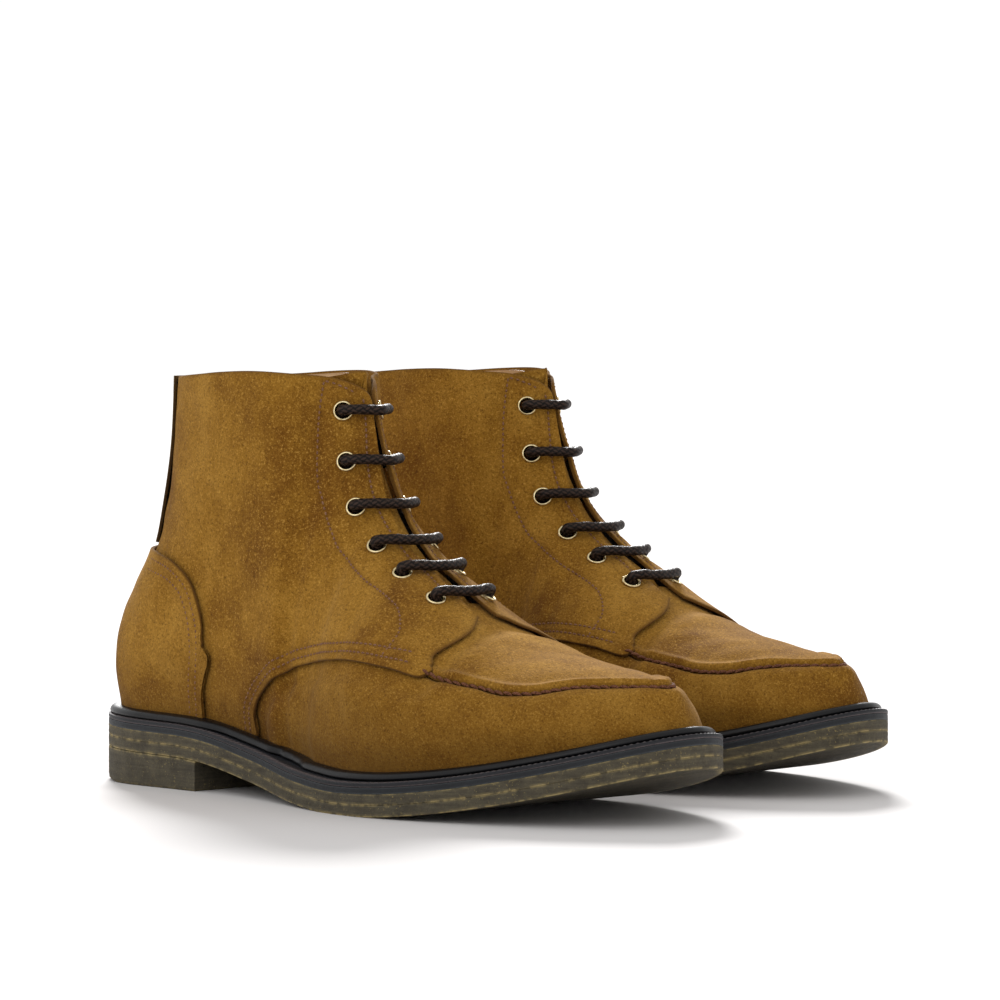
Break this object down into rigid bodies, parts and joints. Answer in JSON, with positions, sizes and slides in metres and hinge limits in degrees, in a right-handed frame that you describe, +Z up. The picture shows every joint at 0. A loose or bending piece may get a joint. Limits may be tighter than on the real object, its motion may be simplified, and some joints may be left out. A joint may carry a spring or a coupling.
{
  "type": "moc-toe lace-up ankle boots",
  "caption": "Pair of suede ankle boots with a stitched apron toe, open lacing through metal eyelets, a storm rand, a welted speckled crepe sole and a low block heel.",
  "frame": {"origin": "middle of the pair's bounding box, on the ground", "axes": "+X towards the toes, +Z up, the right boot on the -Y side"},
  "size_m": [0.3312, 0.2412, 0.1599],
  "materials": {
    "tan_suede": "napped suede",
    "dark_suede": "napped suede, darker",
    "lining_leather": "smooth lining leather",
    "fibre_board": "pressed fibre board",
    "black_welt": "semi gloss",
    "dark_midsole": "matt",
    "speckled_crepe": "matt, speckled with pale flecks",
    "pale_brass": "satin",
    "waxed_cord": "waxed braid"
  },
  "bodies": {
    "right_boot": {"right_outsole": "speckled_crepe", "right_heel_block": "speckled_crepe", "right_through_sole": "speckled_crepe", "right_midsole": "dark_midsole", "right_welt": "black_welt", "right_storm_rand": "black_welt", "right_insole_board": "fibre_board", "right_footbed": "lining_leather", "right_vamp": "tan_suede", "right_apron": "tan_suede", "right_quarter_outer": "tan_suede", "right_quarter_inner": "tan_suede", "right_heel_counter": "tan_suede", "right_heel_stiffener": "fibre_board", "right_back_strip": "dark_suede", "right_lining": "lining_leather", "right_lace": "waxed_cord", "right_eyelet_outer_1": "pale_brass", "right_eyelet_outer_2": "pale_brass", "right_eyelet_outer_3": "pale_brass", "right_eyelet_outer_4": "pale_brass", "right_eyelet_outer_5": "pale_brass", "right_eyelet_outer_6": "pale_brass", "right_eyelet_inner_1": "pale_brass", "right_eyelet_inner_2": "pale_brass", "right_eyelet_inner_3": "pale_brass", "right_eyelet_inner_4": "pale_brass", "right_eyelet_inner_5": "pale_brass", "right_eyelet_inner_6": "pale_brass"},
    "right_tongue": {"right_tongue": "tan_suede"},
    "left_boot": {"left_outsole": "speckled_crepe", "left_heel_block": "speckled_crepe", "left_through_sole": "speckled_crepe", "left_midsole": "dark_midsole", "left_welt": "black_welt", "left_storm_rand": "black_welt", "left_insole_board": "fibre_board", "left_footbed": "lining_leather", "left_vamp": "tan_suede", "left_apron": "tan_suede", "left_quarter_outer": "tan_suede", "left_quarter_inner": "tan_suede", "left_heel_counter": "tan_suede", "left_heel_stiffener": "fibre_board", "left_back_strip": "dark_suede", "left_lining": "lining_leather", "left_lace": "waxed_cord", "left_eyelet_outer_1": "pale_brass", "left_eyelet_outer_2": "pale_brass", "left_eyelet_outer_3": "pale_brass", "left_eyelet_outer_4": "pale_brass", "left_eyelet_outer_5": "pale_brass", "left_eyelet_outer_6": "pale_brass", "left_eyelet_inner_1": "pale_brass", "left_eyelet_inner_2": "pale_brass", "left_eyelet_inner_3": "pale_brass", "left_eyelet_inner_4": "pale_brass", "left_eyelet_inner_5": "pale_brass", "left_eyelet_inner_6": "pale_brass"},
    "left_tongue": {"left_tongue": "tan_suede"}
  },
  "joints": [
    {"name": "left_boot_lift", "type": "slide", "parent": "right_boot", "child": "left_boot", "axis": [0, 0, 1], "range_m": [0, 0.25]},
    {"name": "right_tongue_fold", "type": "hinge", "parent": "right_boot", "child": "right_tongue", "pos_m": [0.0696, -0.06538, 0.064], "axis": [0, -1, 0], "range_deg": [0, 20]},
    {"name": "left_tongue_fold", "type": "hinge", "parent": "left_boot", "child": "left_tongue", "pos_m": [0.03766, 0.06718, 0.064], "axis": [0.0958, -0.9954, 0], "range_deg": [0, 20]}
  ]
}
